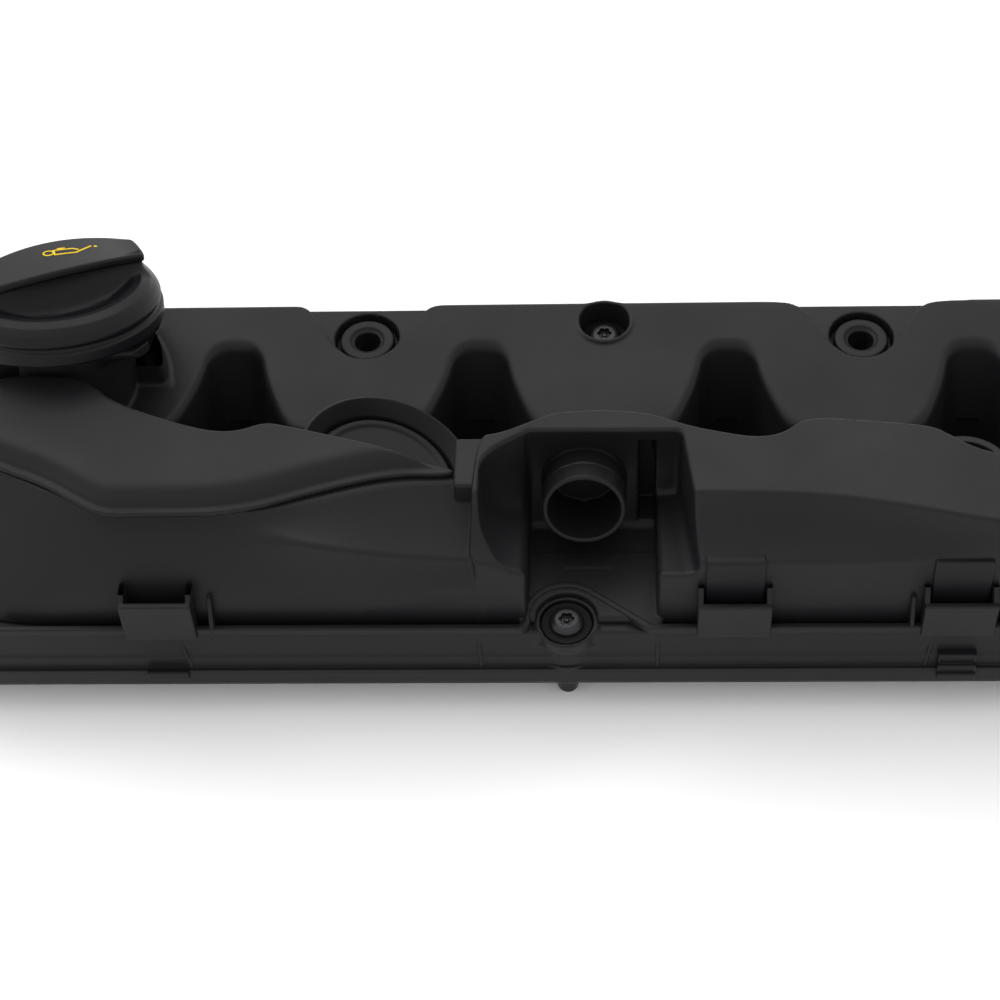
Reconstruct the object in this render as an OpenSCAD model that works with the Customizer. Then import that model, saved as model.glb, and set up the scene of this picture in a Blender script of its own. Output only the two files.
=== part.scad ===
// Moulded cylinder head cover with a built-in oil separator and a screwed filler cap.
// Millimetres, Z up. z = 0 is the sealing face, X runs along the row of cylinders and
// the breather pipe points to -Y. The origin is midway between the middle cylinders.

/* [Overall] */
// Left end of the flange
flange_left = -234; // [-245:1:-230]
// Right end of the flange
flange_right = 230; // [228:1:245]
// Front edge of the flange
flange_front = -80; // [-90:1:-75]
// Rear edge of the flange
flange_rear = 68; // [60:1:75]
// Flange thickness
flange_t = 7; // [5:0.5:10]
// Moulded wall thickness
wall = 3; // [2:0.5:4]
// Cylinder pitch
pitch = 88; // [80:1:100]

/* [Separator chamber] */
// Height of the deck that the chamber is welded on
deck_z = 24; // [20:1:28]
// Height of the chamber's flat top
top_z = 72; // [60:1:80]
// Height of the seam under the duct lid
seam_z = 64; // [55:1:68]
// Radius of the long hollow along the chamber's front edge
cove_r = 20.3; // [15:0.1:25]

/* [Injector coves] */
// Radius of each cove in the rear panel
cove_well_r = 11; // [9:0.5:14]
// Injector axis where it meets the valley floor, measured from the middle line
injector_y = 9; // [7:1:12]
// Backward tilt of the injectors
injector_tilt = 20; // [10:1:22]
// Floor of the injector valley
valley_z = 12; // [10:1:16]
// Inner radius of the injector seal
injector_r = 6.5; // [5:0.5:7]

/* [Breather pipe] */
// Outer radius of the pipe
pipe_r = 14; // [10:0.5:18]
// Inner radius of the pipe
pipe_bore_r = 12.25; // [8:0.25:16]
// Upward tilt of the pipe
pipe_tilt = 14; // [0:1:30]
// Sideways position of the pipe
pipe_x = -7; // [-12:1:12]

/* [Breather valve] */
// Radius of the valve cap's rim
valve_r = 31.2; // [25:0.1:35]
// Tilt of the valve towards the right
valve_tilt = 20; // [0:1:25]
// Travel of the valve plate
valve_travel = 3; // [1:0.5:4]

/* [Filler] */
// Backward tilt of the filler neck
neck_tilt = 18.6; // [0:0.1:25]
// Outer radius of the neck
neck_r = 23.5; // [20:0.5:27]
// Inner radius of the neck
neck_bore_r = 19.5; // [15:0.5:22]
// Radius of the cap's rim
cap_r = 35.5; // [30:0.5:40]
// Angle of the cap's handle
handle_turn = 30; // [0:1:90]

/* [Fasteners] */
// Radius of a bolt shank
shank_r = 3.5; // [2.5:0.25:4]
// Length of a bolt below the cover's sealing face
bolt_reach = 15; // [10:1:25]
// Seat height of the front and end bolts
low_seat = 19.6; // [14:0.2:20]
// Seat height of the rear bolts
high_seat = 36; // [30:1:40]

/* [Hidden] */
$fn = 64;
eps = 0.05;
injectors = [-1.5 * pitch + 1, -0.5 * pitch, 0.5 * pitch, 1.5 * pitch - 1];
front_bolt_points = [[-221, -68], [-13, -72], [219, -68]];
rear_bolt_points = [[-168, 43], [0, 43], [178, 43]];
end_bolt_points = [[-224, -22], [220, -22]];
bush_points = [[-85, 38.5], [92, 38.5]];
neck_centre = [-188, 27, 77];
valve_centre = [-73, -28, 52.4];
relief_point = [122, -30];
relief_r = 16.5;
pipe_base = [pipe_x, -29.5, 46.5];
pipe_len = 16;
pipe_wall_y = -29.5;
lip_top = deck_z + 3;
loop_x = [[-158, -134], [30.5, 55], [105, 129.5]];

// Node to show

// ---------- colours ----------
function shade(k) = [k, k, k * 1.06];
body_col = shade(0.20);
trim_col = shade(0.13);
rubber_col = shade(0.08);
steel_col = [0.55, 0.55, 0.57];

// ---------- helpers ----------
// Extrudes a (Y, Z) section along X.
module along_x(x0, x1) {
    translate([x0, 0, 0]) rotate([90, 0, 90]) linear_extrude(x1 - x0) children();
}

module plan(x0, x1, y0, y1, r) {
    translate([x0 + r, y0]) square([x1 - x0 - 2 * r, y1 - y0]);
    translate([x0, y0 + r]) square([x1 - x0, y1 - y0 - 2 * r]);
    for (x = [x0 + r, x1 - r], y = [y0 + r, y1 - r]) translate([x, y]) circle(r);
}

module block(lo, hi) {
    translate(lo) cube(hi - lo);
}

module tube(ro, ri, z0, z1) {
    difference() {
        translate([0, 0, z0]) cylinder(r = ro, h = z1 - z0);
        translate([0, 0, z0 - 1]) cylinder(r = ri, h = z1 - z0 + 2);
    }
}

module at_all(points) {
    for (p = points) translate(p) children();
}

module at_neck() {
    translate(neck_centre) rotate([-neck_tilt, 0, 0]) children();
}

module at_valve() {
    translate(valve_centre) rotate([0, valve_tilt, 0]) children();
}

module at_pipe() {
    translate(pipe_base) rotate([90 - pipe_tilt, 0, 0]) children();
}

// ---------- base cover ----------
base_outer = [[-79, 0], [-79, 7], [-77.5, 8], [-75.3, 22], [-75.3, deck_z], [-12, deck_z],
              [-9, valley_z], [-4.5, valley_z], [-4, 42.4], [-2.5, 43.8], [49, 50], [52, 48.5],
              [59, 10], [60, 0]];
base_inner = [[-72.5, -1], [-72.5, deck_z - wall], [-14.4, deck_z - wall], [-12, 9], [-1.5, 9],
              [-1, 41], [48.5, 46.8], [49.5, 45.6], [56, 10], [56.4, -1]];

// Room behind the duct, where the panel's front stands further back.
module duct_room(x1, y1, z0) {
    block([flange_left - 5, -20, z0], [x1, y1, 60]);
}

module base_solid() {
    difference() {
        intersection() {
            along_x(flange_left + 3, flange_right - 3) polygon(base_outer);
            translate([0, 0, -1]) linear_extrude(60)
                plan(flange_left + 3, flange_right - 3, -79.1, 60.1, 10);
        }
        duct_room(-156, -0.4, deck_z);
    }
}

module base_hollow() {
    difference() {
        intersection() {
            along_x(flange_left + 6.5, flange_right - 6.5) polygon(base_inner);
            translate([0, 0, -2]) linear_extrude(60)
                plan(flange_left + 6.5, flange_right - 6.5, -75.6, 56.6, 7);
        }
        duct_room(wall - 156, wall - 0.4, deck_z - wall);
    }
}

module at_injector(x) {
    translate([x, injector_y, valley_z]) rotate([-injector_tilt, 0, 0]) children();
}

// Tilted round cove with a straight mouth, above height z0.
module cove_shape(x, r, z0) {
    intersection() {
        union() {
            at_injector(x) translate([0, 0, -20]) cylinder(r = r, h = 80);
            block([x - r, -8, z0], [x + r, injector_y, z0 + 60]);
        }
        block([x - 30, -20, z0], [x + 30, 80, z0 + 80]);
    }
}

// Shallow pocket that opens over the panel's rear edge, seen from above.
module pocket_plan() {
    polygon([[-20.5, 70], [-20.5, 51], [-15.5, 41], [-11, 32.4], [-6, 28.2], [0, 26.9],
             [6, 28.2], [11, 32.4], [15.5, 41], [20.5, 51], [20.5, 70]]);
}

module base_bosses() {
    at_all(front_bolt_points) cylinder(r = 9.5, h = deck_z);
    at_all(end_bolt_points) cylinder(r = 9.5, h = deck_z);
    at_all(rear_bolt_points) cylinder(r = 12.2, h = 48.6);
    at_all(bush_points) translate([0, 0, 33]) cylinder(r = 13.5, h = 12);
}

module bolt_hole(seat) {
    translate([0, 0, -1]) cylinder(r = 5.1, h = 60);
    translate([0, 0, seat]) cylinder(r = 9, h = 60);
}

module front_ribs() {
    for (x = [-140, -42, 17.5, 108]) intersection() {
        block([x - 0.8, -79.5, flange_t], [x + 0.8, -74, 22]);
        along_x(x - 1, x + 1) polygon([[-79.2, 7], [-76.4, 22], [-70, 22], [-70, 7]]);
    }
}

module base_cover() color(body_col) difference() {
    union() {
        difference() {
            union() {
                linear_extrude(flange_t) plan(flange_left, flange_right, flange_front, flange_rear, 12);
                base_solid();
                // side wall that stands forward of the panel beside the filler neck
                block([-154.5, -9, valley_z - 1], [-151.5, 2, 40]);
                front_ribs();
            }
            base_hollow();
        }
        intersection() {
            union() {
                for (x = injectors) cove_shape(x, cove_well_r + wall, valley_z - wall);
            }
            base_solid();
        }
        base_bosses();
        intersection() {
            for (p = bush_points) translate([p[0], 0, 42.4]) linear_extrude(20) pocket_plan();
            base_solid();
        }
        // locating pad at the origin, level with the sealing face
        cylinder(r = 6, h = valley_z);
        for (x = injectors) at_injector(x) translate([0, 0, -3]) cylinder(r = 10.5, h = 7);
        // collar round the lower end of the filler neck
        intersection() {
            at_neck() translate([0, 0, -44]) cylinder(r = neck_r + 3, h = 30);
            base_solid();
        }
    }
    for (x = injectors) difference() {
        cove_shape(x, cove_well_r, valley_z);
        at_injector(x) translate([0, 0, -3]) cylinder(r = 10.5, h = 7);
    }
    for (x = injectors) at_injector(x) translate([0, 0, -12]) cylinder(r = 8.45, h = 40);
    at_all(front_bolt_points) bolt_hole(low_seat);
    at_all(end_bolt_points) bolt_hole(low_seat);
    at_all(rear_bolt_points) bolt_hole(high_seat);
    at_all(bush_points) translate([0, 0, 30]) cylinder(r = 6.5, h = 30);
    at_all(bush_points) translate([0, 0, 40]) cylinder(r = 11.5, h = 30);
    for (p = bush_points) translate([p[0], 0, 45.4]) linear_extrude(20) pocket_plan();
    at_neck() translate([0, 0, -60]) cylinder(r = neck_r, h = 60);
    // room for the rim of the valve at the panel's front edge
    at_valve() translate([0, 0, -8]) cylinder(r = valve_r + 0.4, h = 30);
    at_valve() translate([0, 0, -13]) cylinder(r = 28.5, h = 30);
    gasket_path(2.2, 2.6, -1);
    // drain passage from the chamber
    translate([178, -50, deck_z - 10]) cylinder(r = 4, h = 20);
}

// ---------- separator housing ----------
rear_edge = [[207, -27], [190, -29], [170, -37], [150, -41], [130, -39], [122, -36], [114, -30],
             [108, -26], [88, -24], [67, -22.5], [60, -29], [52, -31], [43, -29.5], [28, -26],
             [12, -19], [-15, -19], [-25, -24], [-35, -29], [-42, -30], [-47, -31]];
lid_rear = [[-49, -40.5], [-54, -39], [-108, -23.5], [-114, -23], [-123, -27], [-134, -26],
            [-155, -18], [-166, -12], [-172, -6], [-179, -2], [-204, -1], [-210, -3]];
lid_front = [[-214, -13], [-214, -32], [-200, -39], [-181, -48], [-164, -58.5], [-120, -58.5],
             [-93, -48.5], [-70, -42], [-51, -42.5]];

// Outline of the chamber as seen from above, pulled in by d all round.
module chamber_plan(d) {
    difference() {
        polygon(concat(rear_edge, lid_rear, [[-214, -13], [-214, -32], [-204, -75], [203, -75], [207, -70]]));
        for (s = [0:1:len(rear_edge) + len(lid_rear) - 2])
            edge_band(concat(rear_edge, lid_rear)[s], concat(rear_edge, lid_rear)[s + 1], d);
        edge_band([-210, -3], [-214, -13], d);
        edge_band([-214, -13], [-214, -32], d);
        edge_band([-214, -32], [-204, -75], d);
        edge_band([207, -70], [207, -27], d);
    }
}

// Strip of half-width d along one edge.
module edge_band(a, b, d) {
    v = b - a;
    n = norm(v);
    if (d > 0) translate(a) rotate(atan2(v[1], v[0])) translate([-d, -d]) square([n + 2 * d, 2 * d]);
}

// (Y, Z) section of the chamber, with its skin pulled in by d.
module chamber_section(d) {
    polygon([[-75.3 + 2.3 * sign(d) + d, deck_z - 5 * sign(d)], [-75.3 + 2.3 * sign(d) + d, lip_top],
             [-73 + d, lip_top], [-69 + d, top_z - d], [10, top_z - d], [10, deck_z - 5 * sign(d)]]);
}

// Hollow that runs along the front of the right chamber and veers forward at its end.
module cove_cut(r) {
    translate([10, -76, 73]) rotate([0, 90, 0]) cylinder(r = r, h = 71);
    translate([77, -76, 73]) rotate([0, 90, -14]) translate([0, 0, -4]) cylinder(r = r, h = 160);
}

// Everything in front of a plane through point p with normal n.
module beyond(p, n) {
    translate(p) rotate([0, acos(n[2] / norm(n)), atan2(n[1], n[0])])
        translate([-150, -150, 0]) cube([300, 300, 60]);
}

// Slanted faces that form the shoulder of the left chamber under the duct lid.
module shoulder_cut(d) {
    // slope from the ridge up to the seam, towards the notch
    translate([0, 0, -d]) intersection() {
        beyond([-125, -60, 64], [0.0899, -0.5046, 1]);
        union() {
            block([-126, -90, 30], [-49.5, 10, 140]);
            block([-50, -90, 30], [-38, -50, 140]);
        }
    }
    // front wall above the loops, leaning back to the seam
    translate([0, d, 0]) intersection() {
        beyond([-140, -58.5, 64], [0, -37, 13.5]);
        block([-230, -120, 24], [-124, 10, 140]);
    }
    // diagonal corner
    translate([d * 0.7, d * 0.7, 0]) beyond([-181.5, -49, 64], [-0.361, -0.668, 0.651]);
}

module chamber_solid(d) {
    difference() {
        intersection() {
            along_x(-215, 210) chamber_section(d);
            translate([0, 0, 10]) linear_extrude(70) chamber_plan(d);
        }
        difference() {
            cove_cut(cove_r + d);
            block([-60, -120, 0], [17, 10, 140]);
        }
        shoulder_cut(d);
        block([-230, -120, seam_z - d], [-49.5 + d, 40, 140]);
        // the top is a little lower between the lid's tip and the recess
        block([-60, -120, top_z - 2.5 - d], [-30, 40, 140]);
    }
}

module recess_cut() {
    block([-27, -90, lip_top], [17.5, pipe_wall_y, 140]);
    translate([0, 0, 44]) linear_extrude(60)
        polygon([[-39.5, -90], [29, -90], [28.5, pipe_wall_y], [-28, pipe_wall_y], [-39.5, -39.6]]);
}

module recess_wall() {
    block([-30, -90, deck_z - 10], [20.5, -26.5, 140]);
    translate([0, 0, 41]) linear_extrude(60)
        polygon([[-42.5, -90], [32, -90], [31.5, -26.5], [-29.5, -26.5], [-42.5, -38.5]]);
}

module valve_pocket(r) {
    at_valve() translate([0, 0, -40]) cylinder(r = r, h = 42.5);
}

module relief_pocket(r, top) {
    translate([relief_point[0], relief_point[1], 0]) cylinder(r = r, h = top);
}

module separator_housing() color(body_col) difference() {
    union() {
        difference() {
            chamber_solid(0);
            difference() {
                chamber_solid(2.6);
                recess_wall();
                valve_pocket(valve_r + 3);
                relief_pocket(relief_r + 3.2, 58);
            }
        }
        // floor of the recess, whose front edge steps round the bolt and then runs diagonally
        translate([0, 0, deck_z]) linear_extrude(lip_top - deck_z) difference() {
            polygon([[-28, -75], [-28, -27], [18, -27], [18, -75], [14, -75], [-6.6, -59.4], [-26, -62]]);
            translate([-13, -72]) circle(14.4);
        }
    }
    recess_cut();
    valve_pocket(valve_r + 0.6);
    relief_pocket(relief_r + 0.6, 55);
    at_all(front_bolt_points) translate([0, 0, 5]) cylinder(r = 10, h = 30);
    at_all(end_bolt_points) translate([0, 0, 5]) cylinder(r = 10, h = 30);
    // slot beside the pipe
    block([11.5, -40, 30], [17.5, -23.6, 62]);
    // passage into the pipe
    at_pipe() translate([0, 0, -12]) cylinder(r = pipe_bore_r, h = 20);
    // transfer slots into the duct under the lid
    for (x = [-196, -170, -144]) block([x, -30 + (x + 196) * -0.1, seam_z - 6], [x + 16, -20, seam_z + 1]);
    at_neck() translate([0, 0, -60]) cylinder(r = neck_r + 0.3, h = 60);
}

// ---------- duct lid ----------
module lid_plan(d) {
    edges = concat(lid_rear, lid_front);
    difference() {
        polygon(edges);
        for (s = [0:1:len(edges) - 1]) edge_band(edges[s], edges[(s + 1) % len(edges)], d);
    }
}

module duct_lid() color(body_col) difference() {
    union() {
        translate([0, 0, seam_z]) linear_extrude(2) lid_plan(0);
        translate([0, 0, seam_z]) linear_extrude(top_z - seam_z - 2) lid_plan(1.2);
        translate([0, 0, seam_z]) linear_extrude(top_z - seam_z) lid_plan(3);
    }
    difference() {
        translate([0, 0, seam_z - 1]) linear_extrude(6.2) lid_plan(5);
        block([-112, -80, 40], [-40, 0, 90]);
    }
    at_neck() translate([0, 0, -60]) cylinder(r = neck_r + 0.3, h = 60);
}

// ---------- breather pipe ----------
module breather_pipe() color(body_col) difference() {
    at_pipe() {
        tube(pipe_r + 1.9, pipe_bore_r, -6, 2.4);
        tube(pipe_r, pipe_bore_r, -6, pipe_len);
        tube(pipe_r + 0.5, pipe_bore_r, pipe_len - 9, pipe_len - 8);
    }
    block([-40, pipe_wall_y, 0], [40, 0, 90]);
}

// ---------- inside the chamber ----------
module baffle_plate() color(trim_col) difference() {
    block([60, -68.9, 40], [196, -51, 42]);
    for (x = [70:12:190], y = [-64, -56]) translate([x, y, 30]) cylinder(r = 3, h = 20);
}

module cyclone_block() color(trim_col) difference() {
    union() {
        block([-190, -46, 50], [-126, -30, 52.5]);
        for (x = [-180, -158, -136]) translate([x, -38, deck_z + 2]) {
            translate([0, 0, 12]) cylinder(r = 6.5, h = 14);
            cylinder(r1 = 2.6, r2 = 6.5, h = 12);
        }
    }
    for (x = [-180, -158, -136]) translate([x, -38, deck_z + 1]) {
        translate([0, 0, 13]) cylinder(r = 5, h = 20);
        translate([0, 0, 0.9]) cylinder(r1 = 1.2, r2 = 5, h = 12.2);
        cylinder(r = 1.2, h = 3);
    }
}

module drain_valve() color(rubber_col) translate([178, -50, 0]) {
    tube(3.9, 2.4, deck_z - wall, deck_z + 1.5);
    translate([0, 0, deck_z - wall - 1.5]) cylinder(r = 5.5, h = 1.5);
}

// ---------- breather valve ----------
module valve_cup() color(trim_col) difference() {
    at_valve() rotate_extrude() polygon([[0, -23], [20, -23], [20, -11.8], [28, -11.8], [28, -9.6],
                                         [18, -9.6], [18, -21], [0, -21]]);
    base_solid();
    at_valve() translate([0, 0, -24]) cylinder(r = 5, h = 5);
}

module valve_plate() color(steel_col) at_valve() {
    tube(14, 3, -11, -9.6);
    translate([0, 0, -13.6]) cylinder(r = 2.9, h = 5.5);
}

module valve_spring() color(steel_col) at_valve() {
    for (k = [0:4]) translate([0, 0, -20.2 + k * 2.1]) rotate_extrude() translate([9, 0]) circle(0.6);
}

module valve_diaphragm() color(rubber_col) at_valve() difference() {
    rotate_extrude() polygon([[14.3, -10.8], [14.3, -9.8], [17, -8.8], [19, -9.5], [27.4, -9.5],
                              [27.4, -8.8], [19, -8.8], [17, -8], [15, -8.8], [14.3, -8.8]]);
}

module valve_cap() color(body_col) at_valve() rotate_extrude()
    polygon([[0, -5.2], [21.8, -5.2], [22.4, -4.4], [24, -4.4], [24.3, -6.8], [25.4, -6.8],
             [25.8, -5.2], [valve_r - 0.9, 0], [valve_r, -0.6], [valve_r, -5], [27.8, -8.6],
             [21, -8.6], [19.6, -7.4], [0, -7.4]]);

// Second, smaller cap in the valley at the right.
module relief_cap() color(body_col) translate([relief_point[0], relief_point[1], 0]) rotate_extrude()
    polygon([[11.5, deck_z], [13.5, deck_z], [14, 46], [relief_r, 47], [relief_r, 51], [relief_r - 1, 51.6],
             [13.6, 51.6], [13, 50], [0, 50], [0, 48], [11, 48]]);

// ---------- front wall details ----------
module loop_frame(x0, x1, y0, z0, z1) {
    difference() {
        block([x0, y0, z0], [x1, -71.4, z1]);
        block([x0 + 1.7, y0 + 1.9, z0 - 1], [x1 - 1.7, -60, z1 + 1]);
    }
}

module harness_loops() color(body_col) difference() {
    union() {
        loop_frame(loop_x[0][0], loop_x[0][1], -78.8, lip_top, 42);
        loop_frame(loop_x[1][0], loop_x[1][1], -78.4, lip_top, 40);
        loop_frame(loop_x[2][0], loop_x[2][1], -78.4, lip_top, 40);
        for (x = [-131, 102]) block([x - 0.8, -77, lip_top], [x + 0.8, -70.5, 39]);
    }
    chamber_solid(0);
}

module snap_tongues() color(trim_col) difference() {
    for (k = [1, 2]) block([loop_x[k][0] + 2, -76, 29], [loop_x[k][1] - 2, -67.3, 55]);
    translate([0, -0.05, 0]) chamber_solid(0);
    block([0, -74.2, 25], [150, -60, 41]);
    along_x(0, 150) polygon([[-77, 43], [-70.8, 57], [-77, 57]]);
}

module gasket_clips() color(trim_col) {
    // three-tier clip
    block([112, -82.6, 4], [125, -80, 7.6]);
    block([112, -81.4, 7.6], [125, -79.1, 10.6]);
    block([112, -80, 10.6], [125, -77.5, 14]);
    // plain tab
    block([-155, -81.6, 5], [-141, -80, 8.6]);
}

// ---------- seals ----------
// Closed strip of width w that follows the flange's edge, its middle 1.6 inside that edge.
module gasket_path(w, h, z0) {
    a = 1.6 - w / 2;
    b = 1.6 + w / 2;
    translate([0, 0, z0]) linear_extrude(h) difference() {
        plan(flange_left + a, flange_right - a, flange_front + a, flange_rear - a, 12 - a);
        plan(flange_left + b, flange_right - b, flange_front + b, flange_rear - b, 12 - b);
    }
}

module perimeter_gasket() color(rubber_col) gasket_path(2, 2.3, -0.9);

module injector_seals() color(rubber_col)
    for (x = injectors) at_injector(x) tube(8.4, injector_r, -3, 5);

module mount_bushes() color(trim_col) at_all(bush_points) {
    tube(9.8, 4.5, 40.2, 44.4);
    tube(6.4, 4.5, 31, 40.2);
}

// ---------- bolts ----------
module bolt_sleeve(seat) tube(5, 3.8, 0, seat + 4);

module grommet(seat) {
    tube(8.9, 5.1, seat + 0.05, seat + 1.2);
    tube(7.4, 5.1, seat + 1.2, seat + 2.8);
    tube(8.4, 5.1, seat + 2.8, seat + 3.9);
}

module bolt(seat) {
    z = seat + 4.05;
    difference() {
        union() {
            translate([0, 0, z]) cylinder(r = 6, h = 1.4);
            translate([0, 0, z + 1.4]) cylinder(r1 = 5.6, r2 = 4.2, h = 2.8);
            translate([0, 0, -1]) cylinder(r = shank_r - 0.25, h = z + 1);
            translate([0, 0, -bolt_reach + 3]) cylinder(r = shank_r, h = bolt_reach - 3.6);
            translate([0, 0, -bolt_reach]) cylinder(r1 = 1, r2 = shank_r, h = 3);
        }
        translate([0, 0, z + 1.6]) cylinder(r = 2.6, h = 5);
        for (a = [0:60:300]) rotate(a) translate([2.6, 0, z + 1.6]) cylinder(r = 0.6, h = 5, $fn = 16);
    }
}

module front_sleeves() color(steel_col)
    at_all(concat(front_bolt_points, end_bolt_points)) bolt_sleeve(low_seat);
module rear_sleeves() color(steel_col) at_all(rear_bolt_points) bolt_sleeve(high_seat);
module bolt_grommets() color(rubber_col) {
    at_all(concat(front_bolt_points, end_bolt_points)) grommet(low_seat);
    at_all(rear_bolt_points) grommet(high_seat);
}
module front_bolts() color(steel_col) at_all(front_bolt_points) bolt(low_seat);
module rear_bolts() color(steel_col) at_all(rear_bolt_points) bolt(high_seat);
module end_bolts() color(steel_col) at_all(end_bolt_points) bolt(low_seat);

// ---------- filler ----------
module filler_neck() color(body_col) at_neck() difference() {
    union() {
        translate([0, 0, -46]) cylinder(r = neck_r - 0.05, h = 38.7);
        translate([0, 0, -16]) cylinder(r1 = neck_r - 0.05, r2 = 34.2, h = 3);
        translate([0, 0, -13]) cylinder(r = 34.2, h = 4);
        translate([0, 0, -9]) cylinder(r = 30, h = 1.7);
    }
    translate([0, 0, -50]) cylinder(r = neck_bore_r, h = 60);
}

module cap_seal() color(rubber_col) at_neck() tube(26, 20.5, -7, -5.3);

module cap_plug() color(trim_col) at_neck() {
    tube(17, 14.5, -22, -5);
    translate([0, 0, -7]) cylinder(r = 14.5, h = 2);
    for (z = [-19, -15, -11]) tube(18.7, 17, z, z + 1.6);
}

module oil_cap() color(body_col) at_neck() rotate(handle_turn) difference() {
    union() {
        rotate_extrude() polygon([[0, -5], [31, -5], [31, -7.4], [34.6, -7.4], [cap_r, -6.4], [cap_r, -2],
                                  [34.4, -1.4], [34.4, -0.4], [35, 0], [35, 1.2], [31, 6.5], [26, 11],
                                  [18, 14.5], [0, 16]]);
        // overhanging top of the handle
        intersection() {
            cylinder(r = 31, h = 40);
            translate([0, 0, -103]) rotate([90, 0, 0]) cylinder(r = 120, h = 26, center = true, $fn = 256);
            handle_top();
        }
    }
    difference() {
        for (s = [-1, 1]) translate([0, s * 23, 18]) rotate([0, 90, 0])
            cylinder(r = 16, h = 90, center = true);
        handle_top();
        difference() {
            cylinder(r = 60, h = 40);
            translate([0, 0, 1]) cylinder(r = 30, h = 40);
        }
    }
    translate([0, 0, 16.7]) rotate(-handle_turn) oil_can(0.6, 4);
}

// Plan of the handle's top, which narrows towards both ends.
module handle_top() {
    translate([0, 0, 13.8]) linear_extrude(6.2)
        polygon([[-32, -8], [0, -12], [32, -8], [32, 8], [0, 12], [-32, 8]]);
}

// Generic oil can seen from the side: body, spout, handle ring and a drop.
module oil_can(h, up) {
    linear_extrude(h + up) translate([4, 4]) rotate(20) {
        difference() {
            translate([-4, -2]) square([8, 4]);
            translate([-3.2, -1.2]) square([6.4, 2.4]);
        }
        difference() {
            translate([-5.4, 0]) circle(1.9);
            translate([-5.4, 0]) circle(1.2);
            translate([-4.05, -2]) square([8, 4]);
        }
        translate([4, 1.2]) rotate(28) square([5.2, 0.8]);
        translate([9.8, 1.6]) circle(0.7);
    }
}

module oil_symbol() color([0.93, 0.78, 0.1]) at_neck() intersection() {
    translate([0, 0, 16.7]) oil_can(0, 0.25);
    cylinder(r = 31, h = 40);
}

base_cover();
separator_housing();
duct_lid();
breather_pipe();
baffle_plate();
cyclone_block();
drain_valve();
valve_cup();
valve_plate();
valve_spring();
valve_diaphragm();
valve_cap();
relief_cap();
harness_loops();
snap_tongues();
gasket_clips();
perimeter_gasket();
injector_seals();
mount_bushes();
front_sleeves();
rear_sleeves();
bolt_grommets();
front_bolts();
rear_bolts();
end_bolts();
filler_neck();
cap_seal();
cap_plug();
oil_cap();
oil_symbol();
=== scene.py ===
"""Moulded cylinder head cover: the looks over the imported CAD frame.

The shells are signed distance fields in millimetres, meshed here with surface nets, so
that every fold has a moulded fillet. Turned parts are sections swept round their axis.
"""
import math

import bpy
import numpy as np
from mathutils import Matrix, Vector


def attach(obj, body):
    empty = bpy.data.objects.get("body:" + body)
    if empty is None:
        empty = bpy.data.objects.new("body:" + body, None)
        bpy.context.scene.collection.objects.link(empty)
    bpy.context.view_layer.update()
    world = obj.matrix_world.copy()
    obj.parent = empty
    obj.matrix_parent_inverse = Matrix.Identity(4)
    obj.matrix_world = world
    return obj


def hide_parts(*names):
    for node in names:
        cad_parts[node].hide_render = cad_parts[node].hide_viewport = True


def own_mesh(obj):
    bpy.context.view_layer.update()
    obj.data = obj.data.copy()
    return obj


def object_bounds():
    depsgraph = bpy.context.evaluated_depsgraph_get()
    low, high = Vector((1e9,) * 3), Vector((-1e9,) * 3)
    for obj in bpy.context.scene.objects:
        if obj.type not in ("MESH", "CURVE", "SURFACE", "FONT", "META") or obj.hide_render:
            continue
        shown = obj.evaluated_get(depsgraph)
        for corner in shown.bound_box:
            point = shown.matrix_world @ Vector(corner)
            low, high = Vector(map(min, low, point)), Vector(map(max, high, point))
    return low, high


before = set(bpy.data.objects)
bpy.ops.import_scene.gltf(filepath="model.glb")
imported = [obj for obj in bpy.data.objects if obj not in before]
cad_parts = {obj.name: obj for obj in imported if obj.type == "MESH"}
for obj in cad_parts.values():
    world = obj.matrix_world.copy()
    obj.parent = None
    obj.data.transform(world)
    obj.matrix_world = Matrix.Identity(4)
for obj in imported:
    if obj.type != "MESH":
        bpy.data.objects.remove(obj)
cad_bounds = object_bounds()

MM = 0.001
CELL = 0.85
TOP_Z = 72.0
SEAM_Z = 64.0
DECK_Z = 24.0
VALLEY_Z = 12.0
LIP_Z = 27.0
INJECTOR_X = (-131.0, -44.0, 44.0, 131.0)
INJECTOR_Y = 9.0
INJECTOR_TILT = math.radians(20)
FRONT_BOLTS = ((-221.0, -68.0), (-13.0, -72.0), (219.0, -68.0))
END_BOLTS = ((-224.0, -22.0), (220.0, -22.0))
REAR_BOLTS = ((-168.0, 43.0), (0.0, 43.0), (178.0, 43.0))
BUSHES = ((-85.0, 38.5), (92.0, 38.5))
NECK_CENTRE = (-188.0, 27.0, 77.0)
NECK_TILT = math.radians(-18.6)
VALVE_CENTRE = (-73.0, -28.0, 52.4)
VALVE_TILT = math.radians(20)
VALVE_R = 31.2
RELIEF = (122.0, -30.0)
RELIEF_R = 16.5
PIPE_BASE = (-7.0, -29.5, 46.5)
PIPE_TILT = math.radians(14)
PIPE_R = 14.0
PIPE_BORE_R = 12.25
HANDLE_TURN = math.radians(30)

# Rectangles given as low X, high X, low Y, high Y and corner radius.
FLANGE_EDGE = (-234, 230, -80, 68, 12)
WALL_FOOT = (-231, 227, -77.9, 60, 9)
HOLLOW_FOOT = (-227.5, 223.5, -72.5, 56, 6)
WALL_DRAFT = 0.10
LOW_SEAT = 19.6
HIGH_SEAT = 36.0
LOW_HEAD = 23.65
HIGH_HEAD = 40.05
COLLAR_R = 10.2
NECK_CLEARANCE_R = 24.2


# ---------- fields ----------
def smax(a, b, k):
    """Largest of two fields, blended over a band k wide."""
    h = np.clip(0.5 + 0.5 * (a - b) / k, 0, 1)
    return b + (a - b) * h + k * h * (1 - h)


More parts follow.
